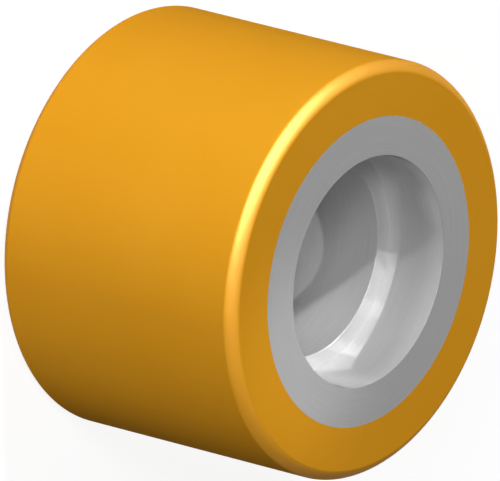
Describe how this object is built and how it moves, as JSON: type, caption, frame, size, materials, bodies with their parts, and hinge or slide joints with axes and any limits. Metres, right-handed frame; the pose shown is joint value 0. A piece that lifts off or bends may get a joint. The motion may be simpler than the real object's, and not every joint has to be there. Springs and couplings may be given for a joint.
{
  "type": "pallet truck wheel",
  "caption": "Wide pallet truck roller: a thick steel sleeve with a stepped bore that seats a ball bearing at each end, and a cast polyurethane tread bonded round it.",
  "frame": {"origin": "centre of the lower end face, on the axle's axis", "axes": "+Z along the axle's axis, out of the upper end face, which is the one the picture shows; the wheel stands on its other end; +X and +Y are any two directions square to it, because the wheel is round"},
  "size_m": [0.085, 0.085, 0.06],
  "materials": {
    "tread": "amber cast polyurethane, satin, with fine turning lines",
    "wheel_centre": "turned steel, bare, with fine turning lines on the faces and in the bores"
  },
  "bodies": {
    "root": {"wheel_centre": "wheel_centre", "tread": "tread"}
  },
  "joints": []
}
